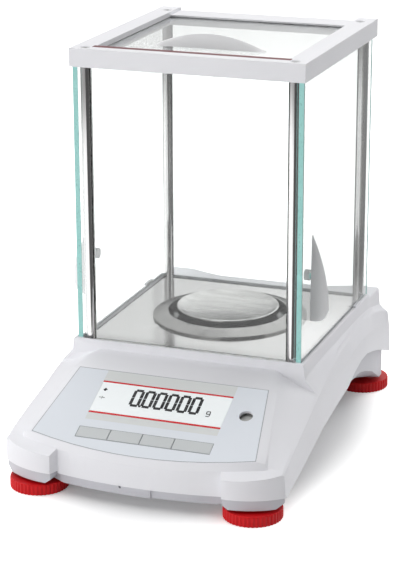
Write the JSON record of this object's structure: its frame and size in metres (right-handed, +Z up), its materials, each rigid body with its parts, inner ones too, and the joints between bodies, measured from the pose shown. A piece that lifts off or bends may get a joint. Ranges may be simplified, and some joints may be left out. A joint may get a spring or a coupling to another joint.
{
  "type": "analytical_balance",
  "caption": "Analytical balance with a glass draft shield: sloping control panel, round pan in a draft ring, sliding side and top doors, and levelling feet.",
  "frame": {"origin": "Bottom centre of the bounding box: the middle of the four levelling feet, on the bench.", "axes": "+X to the balance's right as seen from the front, +Y to the back, +Z up."},
  "size_m": [0.2126, 0.3212, 0.3111],
  "materials": {
    "housing_white": "satin",
    "casting_paint": "satin",
    "panel_film": "matte",
    "key_film": "matte",
    "window_plastic": "gloss",
    "black_plastic": "matte",
    "lcd_body": "gloss",
    "board": "satin",
    "level_vial": "clear",
    "brushed_steel": "brushed",
    "polished_steel": "polished",
    "cell_alloy": "machined",
    "bracket_alloy": "cast",
    "screw_steel": "plated",
    "frame_white": "satin",
    "trim_red": "matte",
    "shield_glass": "clear",
    "grip_grey": "satin",
    "brass": "turned",
    "wheel_red": "satin",
    "pad_rubber": "matte"
  },
  "bodies": {
    "cabinet": {"base_casting": "casting_paint", "upper_housing": "housing_white", "panel_overlay": "panel_film", "display_window": "window_plastic", "lcd_module": "lcd_body", "display_board": "board", "spirit_level": "level_vial", "floor_plate": "brushed_steel", "pan_support": "polished_steel", "weighing_cell": "cell_alloy", "cell_bracket": "bracket_alloy", "cell_screws": "screw_steel", "calibration_drive": "black_plastic", "main_board": "board", "rear_board": "board", "board_screws": "brass", "port_plate": "black_plastic", "power_inlet": "black_plastic", "serial_port": "polished_steel", "port_sockets": "screw_steel", "usb_port": "polished_steel", "shield_posts": "polished_steel", "post_screws": "screw_steel", "top_frame": "frame_white", "frame_trim": "trim_red", "front_glass": "shield_glass", "rear_glass": "shield_glass", "door_guides": "housing_white", "housing_screws": "screw_steel", "foot_inserts": "brass"},
    "left_side_door": {"left_door": "shield_glass", "left_handle": "grip_grey", "left_knob": "grip_grey"},
    "right_side_door": {"right_door": "shield_glass", "right_handle": "grip_grey", "right_knob": "grip_grey"},
    "roof_door": {"top_door": "shield_glass", "top_handle": "grip_grey"},
    "pan": {"weighing_pan": "polished_steel"},
    "ring": {"draft_ring": "polished_steel"},
    "key_cap_1": {"key_1": "key_film"},
    "key_cap_2": {"key_2": "key_film"},
    "key_cap_3": {"key_3": "key_film"},
    "key_cap_4": {"key_4": "key_film"},
    "lifter": {"calibration_lifter": "black_plastic", "calibration_weight": "polished_steel"},
    "bottom_plug": {"hook_cover": "grip_grey"},
    "pad_fl": {"foot_pad_fl": "pad_rubber"},
    "wheel_fl": {"foot_wheel_fl": "wheel_red"},
    "pad_fr": {"foot_pad_fr": "pad_rubber"},
    "wheel_fr": {"foot_wheel_fr": "wheel_red"},
    "pad_rl": {"foot_pad_rl": "pad_rubber"},
    "wheel_rl": {"foot_wheel_rl": "wheel_red"},
    "pad_rr": {"foot_pad_rr": "pad_rubber"},
    "wheel_rr": {"foot_wheel_rr": "wheel_red"}
  },
  "joints": [
    {"name": "left_door_slide", "type": "slide", "parent": "cabinet", "child": "left_side_door", "axis": [0, 1, 0], "range_m": [0, 0.135]},
    {"name": "right_door_slide", "type": "slide", "parent": "cabinet", "child": "right_side_door", "axis": [0, 1, 0], "range_m": [0, 0.135]},
    {"name": "top_door_slide", "type": "slide", "parent": "cabinet", "child": "roof_door", "axis": [0, 1, 0], "range_m": [0, 0.105]},
    {"name": "pan_lift", "type": "slide", "parent": "cabinet", "child": "pan", "axis": [0, 0, 1], "range_m": [0, 0.06]},
    {"name": "ring_lift", "type": "slide", "parent": "cabinet", "child": "ring", "axis": [0, 0, 1], "range_m": [0, 0.03]},
    {"name": "key_1_press", "type": "slide", "parent": "cabinet", "child": "key_cap_1", "axis": [0, 0.4185, -0.9082], "range_m": [0, 0.0004], "stiffness_N_per_m": 1500},
    {"name": "key_2_press", "type": "slide", "parent": "cabinet", "child": "key_cap_2", "axis": [0, 0.4185, -0.9082], "range_m": [0, 0.0004], "stiffness_N_per_m": 1500},
    {"name": "key_3_press", "type": "slide", "parent": "cabinet", "child": "key_cap_3", "axis": [0, 0.4185, -0.9082], "range_m": [0, 0.0004], "stiffness_N_per_m": 1500},
    {"name": "key_4_press", "type": "slide", "parent": "cabinet", "child": "key_cap_4", "axis": [0, 0.4185, -0.9082], "range_m": [0, 0.0004], "stiffness_N_per_m": 1500},
    {"name": "calibration_lift", "type": "slide", "parent": "cabinet", "child": "lifter", "axis": [0, 0, -1], "range_m": [0, 0.004]},
    {"name": "bottom_plug_pull", "type": "slide", "parent": "cabinet", "child": "bottom_plug", "axis": [0, 0, -1], "range_m": [0, 0.008]},
    {"name": "foot_fl_drop", "type": "slide", "parent": "cabinet", "child": "pad_fl", "axis": [0, 0, -1], "range_m": [0, 0.005]},
    {"name": "foot_fl_turn", "type": "hinge", "parent": "pad_fl", "child": "wheel_fl", "pos_m": [-0.0816, -0.1392, 0.0045], "axis": [0, 0, -1], "range_deg": [0, 1800]},
    {"name": "foot_fr_drop", "type": "slide", "parent": "cabinet", "child": "pad_fr", "axis": [0, 0, -1], "range_m": [0, 0.005]},
    {"name": "foot_fr_turn", "type": "hinge", "parent": "pad_fr", "child": "wheel_fr", "pos_m": [0.0816, -0.1392, 0.0045], "axis": [0, 0, -1], "range_deg": [0, 1800]},
    {"name": "foot_rl_drop", "type": "slide", "parent": "cabinet", "child": "pad_rl", "axis": [0, 0, -1], "range_m": [0, 0.005]},
    {"name": "foot_rl_turn", "type": "hinge", "parent": "pad_rl", "child": "wheel_rl", "pos_m": [-0.0816, 0.1392, 0.0045], "axis": [0, 0, -1], "range_deg": [0, 1800]},
    {"name": "foot_rr_drop", "type": "slide", "parent": "cabinet", "child": "pad_rr", "axis": [0, 0, -1], "range_m": [0, 0.005]},
    {"name": "foot_rr_turn", "type": "hinge", "parent": "pad_rr", "child": "wheel_rr", "pos_m": [0.0816, 0.1392, 0.0045], "axis": [0, 0, -1], "range_deg": [0, 1800]}
  ],
  "couplings": [
    {"joint": "foot_fl_drop", "follows": "foot_fl_turn", "m_per_rad": 0.00015915},
    {"joint": "foot_fr_drop", "follows": "foot_fr_turn", "m_per_rad": 0.00015915},
    {"joint": "foot_rl_drop", "follows": "foot_rl_turn", "m_per_rad": 0.00015915},
    {"joint": "foot_rr_drop", "follows": "foot_rr_turn", "m_per_rad": 0.00015915}
  ]
}
